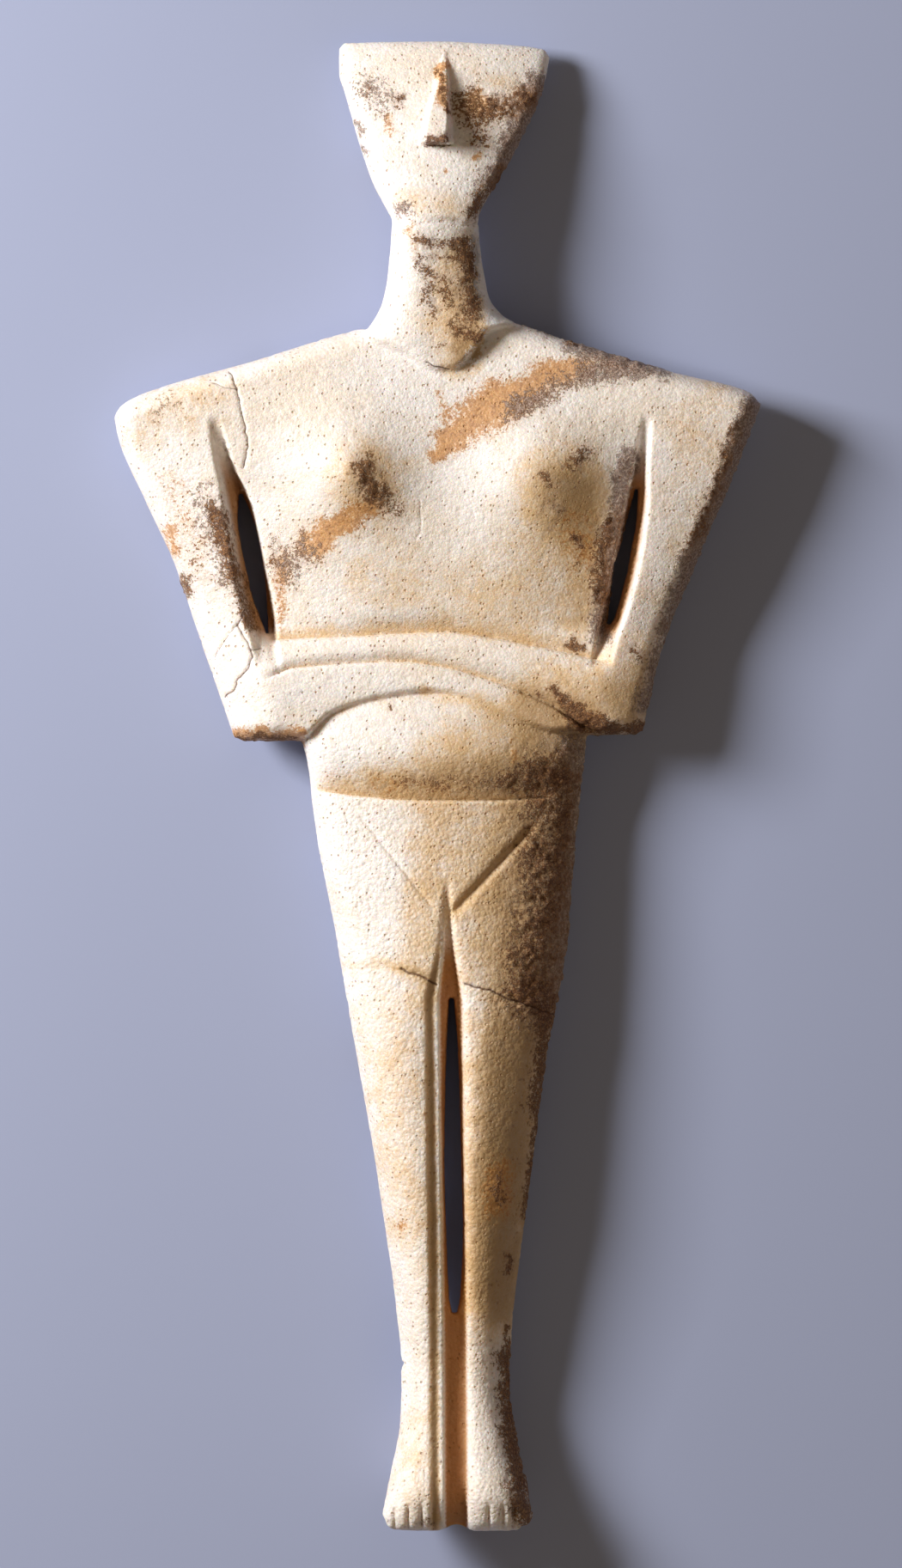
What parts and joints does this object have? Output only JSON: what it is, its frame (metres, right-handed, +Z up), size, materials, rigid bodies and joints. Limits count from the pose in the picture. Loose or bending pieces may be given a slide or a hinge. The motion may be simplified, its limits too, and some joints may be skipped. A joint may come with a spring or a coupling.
{
  "type": "cycladic figurine",
  "caption": "Slender marble figurine of a standing woman with folded arms, wedge-shaped head and pointed feet, carved in one piece to lie on its back.",
  "frame": {"origin": "Middle of the footprint, on the surface that the figurine lies on", "axes": "+Z up out of the face and chest, +Y from the feet to the crown, +X to the right of a viewer who looks down on the face with the head at the top"},
  "size_m": [0.1692, 0.39, 0.0303],
  "materials": {
    "marble": "worn white island marble, warm cream, finely pitted, with ochre, rust-brown and violet-grey burial crust"
  },
  "bodies": {
    "root": {"figurine": "marble"}
  },
  "joints": []
}
